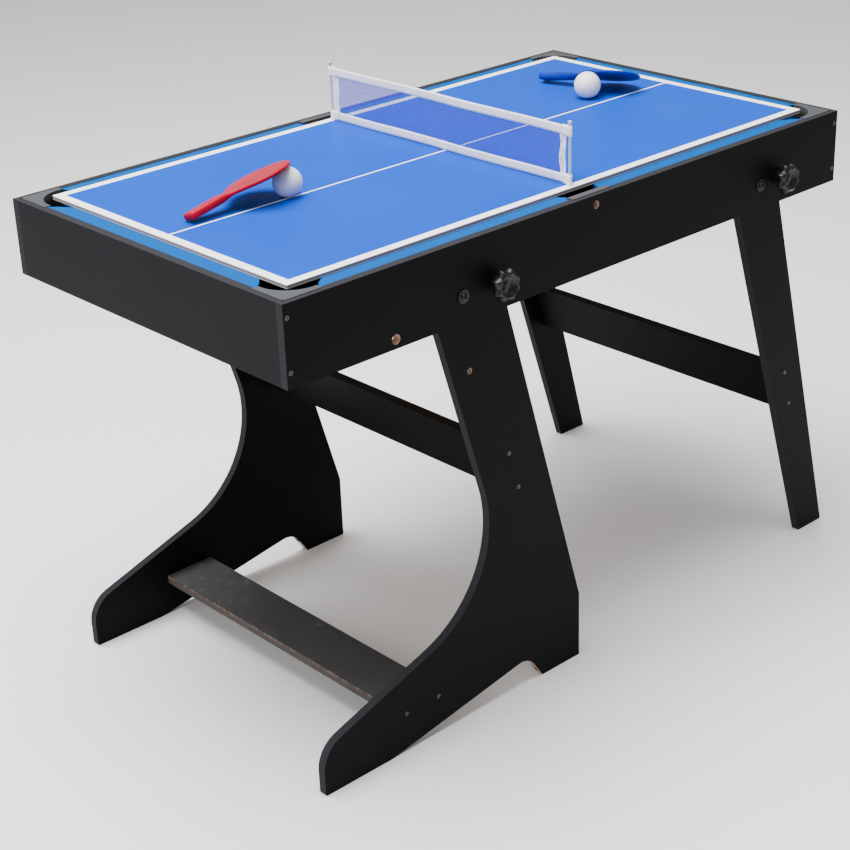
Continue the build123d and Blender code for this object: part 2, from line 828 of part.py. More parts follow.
# Each bat rests on the edge of its butt, with its blade propped on a ball.
red_bat_origin = (left_x + 92.1, -side_y + 302, board_top + 7.98)
blue_bat_origin = (left_x + 871.8, -side_y + 437.5, board_top + 8.41)
save(bat(bat_plane(red_bat_origin, 2.4, 11.338, -19)), "bat_red")
save(bat(bat_plane(blue_bat_origin, -74.9, 6.85, -22)), "bat_blue")

ball_places = {
    "ball_by_red_bat": (left_x + 244.6, -side_y + 290.7),
    "ball_by_blue_bat": (left_x + 847.8, -side_y + 318.2),
}
for name, place in ball_places.items():
    with BuildPart() as ball:
        with Locations((place[0], place[1], board_top + ball_radius + 0.05)):
            Sphere(ball_radius)
            Sphere(ball_radius - 0.5, mode=Mode.SUBTRACT)
    save(ball, name)
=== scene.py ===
# %% [markdown]
# # A folding games table, finished in Blender
#
# The CAD model gives the boards, the hinges and every size. Blender gives what a drawing can't:
# cloth, net, moulded plastic, painted fibreboard and light. The frame is loaded first, and every
# piece made below is put where the frame says, in metres.

# %% Load the frame
import math

import bmesh
import bpy
import numpy as np
from mathutils import Matrix, Vector


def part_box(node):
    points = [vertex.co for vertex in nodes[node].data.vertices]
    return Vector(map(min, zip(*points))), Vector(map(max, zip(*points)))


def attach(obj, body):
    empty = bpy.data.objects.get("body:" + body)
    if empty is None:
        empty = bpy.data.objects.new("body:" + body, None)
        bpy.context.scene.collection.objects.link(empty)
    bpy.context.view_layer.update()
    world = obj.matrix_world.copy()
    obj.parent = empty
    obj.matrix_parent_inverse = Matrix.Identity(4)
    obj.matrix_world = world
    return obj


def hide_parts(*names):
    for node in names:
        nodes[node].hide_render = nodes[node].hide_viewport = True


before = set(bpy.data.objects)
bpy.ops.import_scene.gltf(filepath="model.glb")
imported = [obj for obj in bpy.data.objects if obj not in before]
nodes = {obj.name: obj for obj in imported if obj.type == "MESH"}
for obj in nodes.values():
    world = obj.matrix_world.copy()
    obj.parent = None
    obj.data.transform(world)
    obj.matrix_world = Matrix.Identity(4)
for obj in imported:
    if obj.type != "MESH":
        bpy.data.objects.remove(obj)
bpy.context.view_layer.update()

MM = 0.001

# %% [markdown]
# ## Places that several steps share
#
# The tennis board lies on the cushions, and the net stands on its middle. The leg panels and the
# aprons have a few bare holes. All of these places come from the boxes of CAD nodes.

# %% Shared places
board_low, board_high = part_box("tennis_board")
board_middle = (board_low + board_high) / 2
board_half = (board_high - board_low) / 2
rim_low, rim_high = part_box("side_apron_near")
top_left, top_right = rim_low.x, rim_high.x
side_y = -rim_low.y
post_y = (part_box("net_post_far")[0].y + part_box("net_post_far")[1].y) / 2
cloth_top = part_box("bed_cloth")[1].z
middle_x = (top_left + top_right) / 2
rim_z = rim_high.z
print("board top", round(board_high.z, 4), "cloth top", round(cloth_top, 4))
print("net posts at", round(post_y, 4))

# %% [markdown]
# ## The camera
#
# The table is seen from its near left corner, from a little above standing height, with a long
# lens, so that its parallel boards stay nearly parallel. A camera in Blender looks along its own
# -Z with +Y up, so its matrix has three columns: to the right, up, and backwards.

# %% Camera
eye = Vector((-1.7221, -1.8392, 1.4541))
right = Vector((0.73387, -0.67839, -0.03502)).normalized()
forward = Vector((0.60334, 0.67464, -0.42526)).normalized()
up = right.cross(forward)
camera_data = bpy.data.cameras.new("camera")
camera_data.lens = 78.6
camera_data.sensor_width = 36.0
camera = bpy.data.objects.new("camera", camera_data)
turn = Matrix((right, up, -forward)).transposed().to_4x4()
camera.matrix_world = Matrix.Translation(eye) @ turn
bpy.context.scene.collection.objects.link(camera)
bpy.context.scene.camera = camera
print("camera right", [round(v, 4) for v in right], "up", [round(v, 4) for v in up])

# %% [markdown]
# ## Surfaces from numpy
#
# Every new piece is one or more grids of points. Each row of a grid may close on itself, as the
# hours close on a clock, which makes a tube. A row whose points are all the same is a pole, and the
# weld afterwards turns the squares beside it into triangles. A closed surface has its faces turned
# outwards; an open one, which gets its wall from Solidify or has none, keeps the grid's own order.


# %% Grids to meshes
def squares(rows, columns, closed):
    """Corner numbers of every square on a grid: point (i, j) has the number i * columns + j.

    On a closed grid, the last column is joined to the first.
    """
    i, j = np.meshgrid(np.arange(rows - 1), np.arange(columns if closed else columns - 1), indexing="ij")
    first, last = i * columns, (i + 1) * columns
    j_next = (j + 1) % columns
    return np.stack([first + j, last + j, last + j_next, first + j_next], axis=-1).reshape(-1, 4)


WELD = 0.002 * MM


def piece(name, grids, finish, body, closed=False, crease=35, outward=True):
    """Make a mesh object from grids of points in metres, weld it, and let it ride on a body.

    Edges that bend by more than `crease` degrees stay sharp.
    """
    points, faces, start = [], [], 0
    for grid in grids:
        rows, columns = grid.shape[:2]
        points.append(grid.reshape(-1, 3))
        faces.append(squares(rows, columns, closed) + start)
        start += rows * columns
    mesh = bpy.data.meshes.new(name)
    mesh.from_pydata(np.concatenate(points).tolist(), [], np.concatenate(faces).tolist())
    work = bmesh.new()
    work.from_mesh(mesh)
    bmesh.ops.remove_doubles(work, verts=work.verts, dist=WELD)
    if outward:
        bmesh.ops.recalc_face_normals(work, faces=work.faces)
    work.to_mesh(mesh)
    work.free()
    mesh.shade_smooth()
    mesh.set_sharp_from_angle(angle=math.radians(crease))
    mesh.materials.append(finish.material)
    made = bpy.data.objects.new(name, mesh)
    bpy.context.scene.collection.objects.link(made)
    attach(made, body)
    print(name, "faces", len(mesh.polygons))
    return made


def smooth_step(x, low, high):
    """0 below low, 1 above high, and between them 3t^2 - 2t^3, where t is the share of the way."""
    t = np.clip((x - low) / (high - low), 0.0, 1.0)
    return t * t * (3.0 - 2.0 * t)


def turned(profile, angles, axis_point, axis, start_direction):
    """Turn a profile of (radius, height) pairs about an axis: centre + height * axis + radius * ray."""
    axis, start_direction = np.array(axis, float), np.array(start_direction, float)
    other = np.cross(axis, start_direction)
    rays = np.cos(angles)[:, None] * start_direction + np.sin(angles)[:, None] * other
    radius, height = profile[..., 0], profile[..., 1]
    if radius.ndim == 1:
        radius, height = radius[:, None] + 0 * angles, height[:, None] + 0 * angles
    return np.array(axis_point, float) + height[..., None] * axis + radius[..., None] * rays[None]


# %% [markdown]
# ## Finishes as expressions
#
# A finish is a small graph of nodes, and graphs are tedious to wire by hand. `Value` wraps one
# output socket, so that `1 - mask * 0.3` adds the Math nodes itself. `Finish` holds a material, and
# its one method `node` makes any other node from its type, its settings and what goes in.


# %% Value and Finish
class Value:
    """A number that changes over a surface, as the output socket that carries it."""

    def __init__(self, finish, socket):
        self.finish, self.socket = finish, socket

    def math(self, operation, *others):
        return self.finish.node("ShaderNodeMath", {"operation": operation}, [self, *others])

    def __add__(self, other):
        return self.math("ADD", other)

    def __mul__(self, other):
        return self.math("MULTIPLY", other)

    def __sub__(self, other):
        return self.math("SUBTRACT", other)

    def __rsub__(self, other):
        return self * -1.0 + other

    def __abs__(self):
        return self.math("ABSOLUTE")

    __radd__, __rmul__ = __add__, __mul__

    def least(self, other):
        return self.math("MINIMUM", other)

    def most(self, other):
        return self.math("MAXIMUM", other)

    def step(self, low, high):
        """0 at low, 1 at high, smooth between; low may be the larger one."""
        settings = {"interpolation_type": "SMOOTHSTEP"}
        return self.finish.node("ShaderNodeMapRange", settings, [self, low, high, 0.0, 1.0])


class Finish:
    """One material: a Principled shader with constants on its sockets, and nodes that feed it."""

    def __init__(self, name, color, roughness, **constants):
        self.material = bpy.data.materials.new(name)
        self.material.use_nodes = True
        self.tree = self.material.node_tree
        self.shader = self.tree.nodes["Principled BSDF"]
        self.shader.inputs["Base Color"].default_value = (*color, 1.0)
        self.shader.inputs["Roughness"].default_value = roughness
        for socket, constant in constants.items():
            self.shader.inputs[socket.replace("_", " ")].default_value = constant
        place = self.tree.nodes.new("ShaderNodeTexCoord")
        self.place = Value(self, place.outputs["Object"])
        self.normal = Value(self, place.outputs["Normal"])

    def node(self, kind, settings=None, sockets=(), output=0):
        """Add a node: settings first, then values or links for its sockets, by order or by name."""
        made = self.tree.nodes.new(kind)
        for key, setting in (settings or {}).items():
            setattr(made, key, setting)
        pairs = sockets.items() if isinstance(sockets, dict) else enumerate(sockets)
        for key, given in pairs:
            if isinstance(given, Value):
                self.tree.links.new(given.socket, made.inputs[key])
            else:
                made.inputs[key].default_value = given
        return Value(self, made.outputs[output])

    def split(self, vector):
        """The three numbers of a vector."""
        made = self.node("ShaderNodeSeparateXYZ", None, [vector])
        return [Value(self, socket) for socket in made.socket.node.outputs]

    def noise(self, scale, detail=2.0, stretch=(1.0, 1.0, 1.0)):
        """Cloudy noise around 0.5, with a number of clouds per metre."""
        where = self.node("ShaderNodeVectorMath", {"operation": "MULTIPLY"}, [self.place, stretch])
        sockets = {"Vector": where, "Scale": scale, "Detail": detail}
        return self.node("ShaderNodeTexNoise", None, sockets)

    def mix(self, first, second, share):
        """A colour between two others; a plain colour is three numbers."""
        settings = {"data_type": "RGBA"}
        ends = [c if isinstance(c, Value) else (*c, 1.0) for c in (first, second)]
        return self.node("ShaderNodeMix", settings, {0: share, 6: ends[0], 7: ends[1]}, 2)

    def feed(self, **links):
        """Link values to the shader's sockets by name."""
        for name, given in links.items():
            self.tree.links.new(given.socket, self.shader.inputs[name.replace("_", " ")])

    def raise_by(self, height, distance, strength=1.0):
        """Bump the surface by a height from 0 to 1, for a real height of so many metres."""
        sockets = {"Height": height, "Distance": distance, "Strength": strength}
        self.feed(Normal=self.node("ShaderNodeBump", None, sockets))


def coat_node(name, finish):
    """Put a finish on a CAD node, which keeps its shape and place."""
    mesh = nodes[name].data
    mesh.materials.clear()
    mesh.materials.append(finish.material)


print("finishes are built with Value and Finish")

# %% [markdown]
# ## Black fibreboard
#
# The aprons, legs and rails are fibreboard with a black paper film on their faces. The cut edges
# are painted, and the rougher core drinks the paint, so they look greyer; the grey is also partly
# painted light, for the light that the edges catch. Bare wood shows where the paint missed: inside
# drilled holes, in the notch in front of each heel, and along the upper edge of the foot plank. A
# face is told from an edge by the object's own normal.

# %% Film and cut edges
RAW_WOOD = (0.50, 0.345, 0.25)
FILM_BLACK = (0.0036, 0.0036, 0.0040)
# The edge grey is partly the painted fibre's own colour and partly painted light.
EDGE_GREY_PAINTED_LIGHT = (0.024, 0.024, 0.029)


def black_board(name, face, film=FILM_BLACK, edge=EDGE_GREY_PAINTED_LIGHT, scuffs=0.0):
    """Film on the faces whose normal is along `face`, painted fibre on every other side.

    The edge mask is 1 - |normal . face|, made crisp. Clouds at three sizes mottle both. The grey
    of the edges is partly painted light, for the light that the edges catch.
    """
    finish = Finish(name, film, 0.5, Specular_IOR_Level=0.05)
    facing = finish.node("ShaderNodeVectorMath", {"operation": "DOT_PRODUCT"}, [finish.normal, face], 1)
    cut = 1.0 - abs(facing).step(0.55, 0.9)
    clouds = finish.noise(9.0, 4.0)
    fibres = finish.noise(420.0, 3.0)
    mottle = finish.noise(70.0, 3.0)
    dark = finish.mix([c * 0.72 for c in film], [c * 1.35 for c in film], clouds * 0.6 + mottle * 0.4)
    worn = mottle.step(0.56, 0.74) * clouds.step(0.45, 0.62) * scuffs
    dark = finish.mix(dark, [c * 2.5 for c in film], worn)
    # Edge colour: the fibre's own grey, partly painted light for the light that the edges catch.
    grey = finish.mix([c * 0.75 for c in edge], [c * 1.2 for c in edge], fibres)
    finish.paint = finish.mix(dark, grey, cut)
    finish.cut = cut
    finish.feed(Roughness=0.46 + cut * 0.22 + mottle * 0.08)
    finish.raise_by(fibres * (0.25 + cut * 0.75), 0.00012, 0.6)
    return finish


def bare_wood(finish, mask):
    """Let raw fibreboard show through a painted finish where the mask is 1."""
    streaks = finish.noise(260.0, 3.0)
    wood = finish.mix([c * 0.72 for c in RAW_WOOD], [c * 1.15 for c in RAW_WOOD], streaks)
    finish.paint = finish.mix(finish.paint, wood, mask)


def ring_mask(finish, x, z, radius):
    """1 on and inside a hole that runs along Y through (x, z)."""
    px, _, pz = finish.split(finish.place)
    offset = finish.node("ShaderNodeCombineXYZ", None, [px - x, 0.0, pz - z])
    away = finish.node("ShaderNodeVectorMath", {"operation": "LENGTH"}, [offset], 1)
    return away.step(radius + 0.6 * MM, radius + 0.3 * MM)


# %% Aprons, rails and legs
storage_hole = (top_left + 167.5 * MM, rim_z - 93.5 * MM, 6.5 * MM)
accessory_hole = (middle_x, rim_z - 13.3 * MM, 5.5 * MM)
blind_depth = 9 * MM
# The side boards' edge grey is partly painted light, as for all the cut edges.
side_film = black_board("side_board", (0.0, 1.0, 0.0), edge=(0.026, 0.026, 0.030))
for x, z, radius in (storage_hole, accessory_hole):
    bare_wood(side_film, ring_mask(side_film, x, z, radius) * side_film.cut)
from_middle = abs(side_film.split(side_film.place)[1])
blind_end = from_middle.step(side_y - blind_depth + 0.2 * MM, side_y - blind_depth - 0.2 * MM)
bare_wood(side_film, ring_mask(side_film, *accessory_hole[:2], 5.2 * MM) * blind_end)
side_film.feed(Base_Color=side_film.paint)

# Painted light: the end boards and bed rails get a black film lighter than the side boards', for the
# light from the left on the ends; their edge grey is partly painted light too.
end_film_painted_light = black_board(
    "end_board_painted_light", (1.0, 0.0, 0.0), film=(0.0085, 0.0085, 0.0105), edge=(0.026, 0.026, 0.030)
)
end_film_painted_light.feed(Base_Color=end_film_painted_light.paint)

panel_film = black_board("leg_board", (0.0, 1.0, 0.0), scuffs=0.35)
panel_x, _, panel_z = panel_film.split(panel_film.place)
notch_start, notch_end, notch_top = top_left + 400 * MM, top_left + 430.5 * MM, 40 * MM
notch = panel_x.step(notch_start - 1.5 * MM, notch_start) * panel_x.step(notch_end + 1.5 * MM, notch_end)
notch = notch * panel_z.step(notch_top + 1.0 * MM, notch_top) * panel_film.cut
bare_wood(panel_film, notch * panel_film.noise(90.0).step(0.36, 0.5))
stand_hole = (top_left + 302.0 * MM, rim_z - 183.0 * MM)
bare_wood(panel_film, ring_mask(panel_film, *stand_hole, 4.5 * MM) * panel_film.cut)
panel_film.feed(Base_Color=panel_film.paint)

# Painted light: the foot plank's film is far lighter than the black of the other boards, for the light
# on its upward face; the chips and scuffs are its own wear.
plank_film_painted_light = black_board(
    "plank_board_painted_light", (0.0, 0.0, 1.0), film=(0.050, 0.049, 0.050), edge=(0.075, 0.062, 0.056), scuffs=0.5
)
_, _, plank_z = plank_film_painted_light.split(plank_film_painted_light.place)
chips = plank_z.step(58.5 * MM, 64.2 * MM) * plank_film_painted_light.noise(150.0, 4.0).step(0.5, 0.6)
bare_wood(plank_film_painted_light, chips * plank_film_painted_light.cut * 0.3)
plank_film_painted_light.feed(Base_Color=plank_film_painted_light.paint)


def rail_board(name, node):
    """Film for a leaning rail, whose face normal follows from the size of its box.

    A board t thick and w wide that leans by a has a box t cos a + w sin a long and
    t sin a + w cos a high. Solved for a: tan a = (w * length - t * height) / (w * height - t * length).
    """
    low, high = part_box(node)
    height, length = high.z - low.z, high.x - low.x
    thick, wide = 12.5 * MM, 80.0 * MM
    lean = math.atan2(length * wide - height * thick, height * wide - length * thick)
    face = (math.cos(lean), 0.0, math.sin(lean))
    # The rails' edge grey is partly painted light, as for all the cut edges.
    finish = black_board(name, face, film=(0.004, 0.0037, 0.0035), edge=(0.018, 0.016, 0.015))
    finish.feed(Base_Color=finish.paint)
    print(name, "leans", round(math.degrees(lean), 1), "degrees")
    return finish


for node in ("side_apron_near", "side_apron_far"):
    coat_node(node, side_film)
for node in ("end_apron_left", "end_apron_right", "bed_rail_left", "bed_rail_right"):
    coat_node(node, end_film_painted_light)
for node in ("stand_panel_near", "stand_panel_far", "leg_panel_near", "leg_panel_far"):
    coat_node(node, panel_film)
coat_node("stand_foot_plank", plank_film_painted_light)
coat_node("stand_rail", rail_board("stand_rail_board", "stand_rail"))
coat_node("leg_rail", rail_board("leg_rail_board", "leg_rail"))

bed_core = Finish("bed_board_core", RAW_WOOD, 0.75)
speckle = bed_core.noise(300.0, 4.0)
bed_core.feed(Base_Color=bed_core.mix((0.30, 0.19, 0.12), (0.48, 0.32, 0.21), speckle))
bed_core.raise_by(speckle, 0.0001)
coat_node("bed_board", bed_core)
print("boards are finished")

# %% [markdown]
# ## The table-tennis board
#
# A thin board with a paper film in blue, a white border and a hairline along the middle. Lines are
# distances: the border is where the nearer edge is less than 13 mm away. The cut edge shows three
# layers, a white lacquered lip, the grey-brown core and a pale lower film.

# %% Board finish
board = Finish("tennis_top", (0.0, 0.05, 0.38), 0.5, Specular_IOR_Level=0.03)
bx, by, bz = board.split(board.place)
_, _, lid = board.split(board.normal)
in_x = board_half.x - abs(bx - board_middle.x)
in_y = board_half.y - abs(by - board_middle.y)
border = in_x.least(in_y).step(13.3 * MM, 12.7 * MM)
hairline = abs(by).step(1.75 * MM, 1.25 * MM)
marks = border.most(hairline)
drift = board.noise(6.0, 3.0)
paper = board.noise(850.0, 2.0)
blue = board.mix((0.0, 0.048, 0.39), (0.0, 0.064, 0.47), drift * 0.7 + paper * 0.3)
top = board.mix(blue, (0.93, 0.93, 0.93), marks)
layer = (bz - board_low.z) * (1.0 / (board_high.z - board_low.z))
core = board.mix((0.20, 0.16, 0.17), (0.34, 0.28, 0.30), board.noise(500.0, 3.0))
side = board.mix(core, (0.62, 0.57, 0.55), layer.step(0.2, 0.12))
side = board.mix(side, (0.9, 0.9, 0.92), layer.step(0.8, 0.9))
facing_up = lid.step(0.4, 0.6)
under = board.mix(side, core, lid.step(-0.4, -0.6))
board.feed(Base_Color=board.mix(under, top, facing_up))
board.feed(Roughness=0.44 + (1.0 - facing_up) * 0.3 - marks * 0.06)
board.raise_by(paper, 0.00003, 0.5)
coat_node("tennis_board", board)
print("board is", [round(v * 2, 4) for v in board_half])

# %% [markdown]
# ## Cushions and bed cloth
#
# A cushion is a strip of foam with cloth pulled over it. Its section has a flat top, a soft nose
# and an undercut, and the foam swells a little beside the rim. The section is carried along the
# table, and each end is cut on a slant for the pocket: how far along a point lies depends on how
# far it is from the rim, so the slant needs no cutting.


# %% Cloth finish
def cloth_finish(name, color):
    """Short-napped cloth: clouds of fibre in the colour and a fine raised nap, with little gloss."""
    finish = Finish(name, color, 0.92, Specular_IOR_Level=0.03)
    nap = finish.noise(1500.0, 3.0)
    clouds = finish.noise(25.0, 3.0)
    deep, light = [c * 0.86 for c in color], [c * 1.08 for c in color]
    finish.feed(Base_Color=finish.mix(deep, light, nap * 0.5 + clouds * 0.5))
    finish.raise_by(nap, 0.00015, 0.5)
    return finish


cushion_cloth = cloth_finish("cushion_cloth", (0.0, 0.076, 0.29))
bed_cloth_finish = cloth_finish("bed_cloth", (0.0, 0.06, 0.26))

# %% Cushion surfaces
low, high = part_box("cushion_end_left")
wide, tall = high.x - low.x, high.z - cloth_top


def rounded_loop(corners, radii, steps=7):
    """A closed outline: at each corner a quadratic curve from one side to the next.

    A curve point is (1-t)^2 * before + 2t(1-t) * corner + t^2 * after.
    """
    corners = np.array(corners, float)
    t = np.linspace(0.0, 1.0, steps)[:, None]
    found = []
    for k, radius in enumerate(radii):
        corner = corners[k]
        before, after = corners[k - 1] - corner, corners[(k + 1) % len(corners)] - corner
        before = corner + before * radius / np.linalg.norm(before)
        after = corner + after * radius / np.linalg.norm(after)
        found.append((1 - t) ** 2 * before + 2 * t * (1 - t) * corner + t**2 * after)
    return np.concatenate(found)


section = rounded_loop(
    [(0, 0), (wide * 0.667, 0), (wide, tall * 0.61), (wide, tall), (wide * 0.5, tall), (0, tall)],
    [0.8 * MM, 2 * MM, 4 * MM, 5 * MM, 4 * MM, 0.8 * MM],
)[::-1]
mitre_start, crown_height = 7 * MM, 1.6 * MM
plate_half, plate_depth = 36.5 * MM, 7.2 * MM
plate_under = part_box("side_pocket_near")[1].z - 4.1 * MM - cloth_top


def cushion(name, back, inward, along, start, end, start_slant, end_slant, plate_at=None):
    """Carry the section from start to end: each point's end is moved in by its slant past the mitre.

    The top is crowned towards the rim by (rise / height)^4, with a faint wave along the table. The
    first and the last two rows shrink to a point, which closes the ends. Beside a side pocket, the
    cloth is pressed down under the plate.
    """
    inward, along = np.array(inward, float), np.array(along, float)
    depth, rise = section[:, 0], section[:, 1]
    past = np.clip(depth - mitre_start, 0.0, None) / (wide - mitre_start)
    first, last = start + start_slant * past, end - end_slant * past
    share = np.concatenate([[0.0, 0.0], np.linspace(0.0, 1.0, 150), [1.0, 1.0]])
    shrink = np.ones_like(share)
    shrink[0] = shrink[-1] = 0.0
    middle = section.mean(axis=0)
    depth = middle[0] + (depth - middle[0]) * shrink[:, None]
    rise = middle[1] + (rise - middle[1]) * shrink[:, None]
    reach = first + (last - first) * share[:, None]
    centre = reach.mean(axis=1, keepdims=True)
    reach = centre + (reach - centre) * shrink[:, None]
    crown = np.clip(rise / tall, 0.0, 1.0) ** 4 * crown_height * smooth_step(depth, 22 * MM, 2 * MM)
    rise = rise + crown * (1.0 + 0.08 * np.sin(reach * 95.0))
    if plate_at is not None:
        away = np.abs(reach - plate_at)
        under = smooth_step(away, plate_half + 1.0 * MM, plate_half) * (depth < plate_depth)
        rise = np.where(under > 0.5, np.minimum(rise, plate_under), rise)
    points = np.array([0.0, 0.0, cloth_top]) + reach[..., None] * along
    points = points + (back + depth)[..., None] * inward
    points[..., 2] += rise
    made = piece(name, [points], cushion_cloth, "table_frame", closed=True, crease=50)
    return made


corner_reach = 66 * MM
apron = 12 * MM
corner_slant, side_slant, mouth = 36 * MM, 14 * MM, 27 * MM
half_end = side_y - corner_reach
end_slants = (corner_slant, corner_slant)
for word, back_x, way in (("left", top_left + apron, 1.0), ("right", top_right - apron, -1.0)):
    name = f"cushion_cloth_end_{word}"
    made = cushion(name, way * back_x, (way, 0, 0), (0, 1, 0), -half_end, half_end, *end_slants)
    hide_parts(f"cushion_end_{word}")
for side_word, way in (("near", 1.0), ("far", -1.0)):
    spans = (
        ("left", top_left + corner_reach, middle_x - mouth, corner_slant, side_slant),
        ("right", middle_x + mouth, top_right - corner_reach, side_slant, corner_slant),
    )
    for end_word, *span in spans:
        name = f"cushion_cloth_{side_word}_{end_word}"
        made = cushion(name, apron - side_y, (0, way, 0), (1, 0, 0), *span, plate_at=middle_x)
        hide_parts(f"cushion_{side_word}_{end_word}")

# %% Bed cloth
low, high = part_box("bed_cloth")
cloth_half = (high - low) / 2
cut_corner = 127 * MM - 2 * apron
notch_half, notch_depth = 38 * MM, 50 * MM
cut_y, notch_y = cloth_half.y - cut_corner, cloth_half.y - notch_depth
# The cloth is rows of points from side to side: its ends come in at the cut corners, and it parts
# in the middle at the two notches. One row just past the start of a notch makes its edge square.
rows = np.unique(np.concatenate([
    np.linspace(0.0, notch_y, 12),
    np.linspace(notch_y, cloth_half.y, 6),
    [cut_y, notch_y + 0.01 * MM],
]))
rows = np.concatenate([-rows[:0:-1], rows])
across = np.linspace(0.0, 1.0, 40)
outer = cloth_half.x - np.clip(np.abs(rows) - cut_y, 0.0, None)
inner = np.where(np.abs(rows) > notch_y, notch_half, 0.0)
halves = []
for way in (-1.0, 1.0):
    x = middle_x + way * (inner[:, None] + (outer - inner)[:, None] * across)
    grid = np.stack([x, rows[:, None] + 0 * x, np.full_like(x, cloth_top)], axis=-1)
    halves.append(grid if way > 0 else grid[:, ::-1])
bed = piece("bed_cloth_sheet", halves, bed_cloth_finish, "table_frame", outward=False)
wall = bed.modifiers.new("thickness", "SOLIDIFY")
wall.thickness, wall.offset = 0.9 * MM, -1.0
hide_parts("bed_cloth")

# %% [markdown]
# ## Lock knobs
#
# A moulded star knob has eight lobes, a rounded front edge and a dished face with two pits. It is
# one surface of two parameters: the angle round the axis, and the way along a profile from the back
# over the edge to the middle of the face. Scallops shrink the radius by a raised cosine, and the
# effect fades towards the middle, so that the dish stays round.

# %% Knob surface
lobe_depth, lobes = 3.9 * MM, 8
pit_radius, pit_spread, pit_depth = 8.2 * MM, 2.9 * MM, 2.6 * MM


def knob_grids(x, z, side):
    """Star surface: r = R(t) - D (0.5 + 0.5 cos 8a)^0.75 E(t), h = H(t) - two pits in the dish.

    t runs along the profile and a round the axis. R and H are the profile, and E is how much of the
    scallops is felt there, from 0 in the dish to 1 on the side. A pit is a bell in r times a step in
    |cos(a - a0)|, which leaves a web between the two.
    """
    angles = np.linspace(0.0, 2.0 * math.pi, 176, endpoint=False)
    # Radius and height in mm and E: the flat back, the side, the rounded edge, then the dish.
    profile = np.array([
        (0.0, 14.0, 0), (9.0, 14.0, 0), (15.0, 14.0, 0.8), (20.6, 14.1, 1), (21.8, 14.6, 1),
        (22.4, 15.6, 1), (22.5, 17.0, 1), (22.4, 19.0, 1), (22.0, 20.8, 0.97), (21.2, 22.4, 0.92),
        (20.1, 23.8, 0.84), (18.7, 25.0, 0.7), (17.3, 25.8, 0.5), (16.0, 26.0, 0.3),
        (14.8, 25.8, 0.15), (13.6, 25.2, 0.05), (12.4, 24.2, 0), (11.0, 23.2, 0), (9.4, 22.6, 0),
        (7.6, 22.3, 0), (5.6, 22.2, 0), (3.4, 22.2, 0), (0.0, 22.2, 0),
    ])
    at = np.linspace(0.0, 1.0, 90)
    knots = np.linspace(0.0, 1.0, len(profile))
    radius, height, felt = (np.interp(at, knots, profile[:, k]) for k in range(3))
    scallop = (0.5 + 0.5 * np.cos(lobes * angles)) ** 0.75
    radius = radius[:, None] * MM - lobe_depth * felt[:, None] * scallop
    height = height[:, None] * MM + 0 * angles
    in_dish = (at > 0.62)[:, None] * np.exp(-(((radius - pit_radius) / pit_spread) ** 2))
    facing = np.abs(np.cos(angles - side * math.radians(212)))
    height = height - pit_depth * in_dish * smooth_step(facing, 0.45, 0.9)
    centre, axis, ray = (x, side * side_y, z), (0.0, side, 0.0), (1, 0, 0)
    head = turned(np.stack([radius, height], axis=-1), angles, centre, axis, ray)
    # The boss, down to the washer, and the spigot that turns in the apron.
    stem = [(0, 15), (10, 15), (10, 8), (10, 2.1), (9.7, 1.8), (6.4, 1.8), (6.4, -11.6), (0, -11.6)]
    return [head, turned(np.array(stem) * MM, angles[::4], centre, axis, ray)]


knob_plastic = Finish("knob_plastic", (0.004, 0.004, 0.005), 0.36, Specular_IOR_Level=0.32)
grain = knob_plastic.noise(900.0, 2.0)
flow = knob_plastic.noise(45.0, 3.0)
moulded = knob_plastic.mix((0.0016, 0.0017, 0.0026), (0.0044, 0.0047, 0.0060), flow)
knob_plastic.feed(Base_Color=moulded)
knob_plastic.feed(Roughness=0.28 + flow * 0.14)
knob_plastic.raise_by(grain, 0.00005, 0.4)

for place in ("stand", "leg"):
    for word, side in (("near", -1.0), ("far", 1.0)):
        low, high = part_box(f"knob_stud_{place}_{word}")
        star, boss = knob_grids((low.x + high.x) / 2, (low.z + high.z) / 2, side)
        for part, grid in (("star", star), ("boss", boss)):
            name, body = f"knob_{part}_{place}_{word}", f"{place}_knob_{word}"
            made = piece(name, [grid], knob_plastic, body, closed=True)
            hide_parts(f"knob_{place}_{word}")

# %% [markdown]
# ## Screws, bolts and pocket plates
#
# The hardware keeps its CAD shape. Blackened steel is a dark metal whose wear shows on the high
# spots, and zinc is bright with a faint cloud. The pocket plates are moulded in grey with a spark
# texture, which is a fine bump. Below the top, the mouth is painted near black: painted shade, for
# the shade under the board.

# %% Hardware and pocket finishes
black_steel = Finish(
    "blackened_steel", (0.015, 0.014, 0.014), 0.32, Metallic=0.5, Specular_IOR_Level=0.35
)
scale = black_steel.noise(520.0, 3.0)
black_steel.feed(Base_Color=black_steel.mix((0.006, 0.0056, 0.0056), (0.028, 0.026, 0.0255), scale))
black_steel.feed(Roughness=0.26 + scale * 0.25)
black_steel.raise_by(scale, 0.00006, 0.4)

screw_grey = Finish("screw_grey", (0.05, 0.05, 0.05), 0.45, Metallic=0.6)
scale = screw_grey.noise(600.0, 3.0)
screw_grey.feed(Base_Color=screw_grey.mix((0.025, 0.025, 0.027), (0.09, 0.09, 0.095), scale))
screw_grey.feed(Roughness=0.3 + scale * 0.25)

zinc = Finish("zinc_plate", (0.5, 0.5, 0.52), 0.3, Metallic=0.95)
scale = zinc.noise(350.0, 3.0)
zinc.feed(Base_Color=zinc.mix((0.42, 0.42, 0.44), (0.62, 0.62, 0.63), scale))
zinc.feed(Roughness=0.22 + scale * 0.22)

nylon = Finish("nylon", (0.004, 0.004, 0.004), 0.6, Specular_IOR_Level=0.05)
grain = nylon.noise(400.0, 3.0)
nylon.feed(Base_Color=nylon.mix((0.003, 0.003, 0.003), (0.007, 0.007, 0.007), grain))

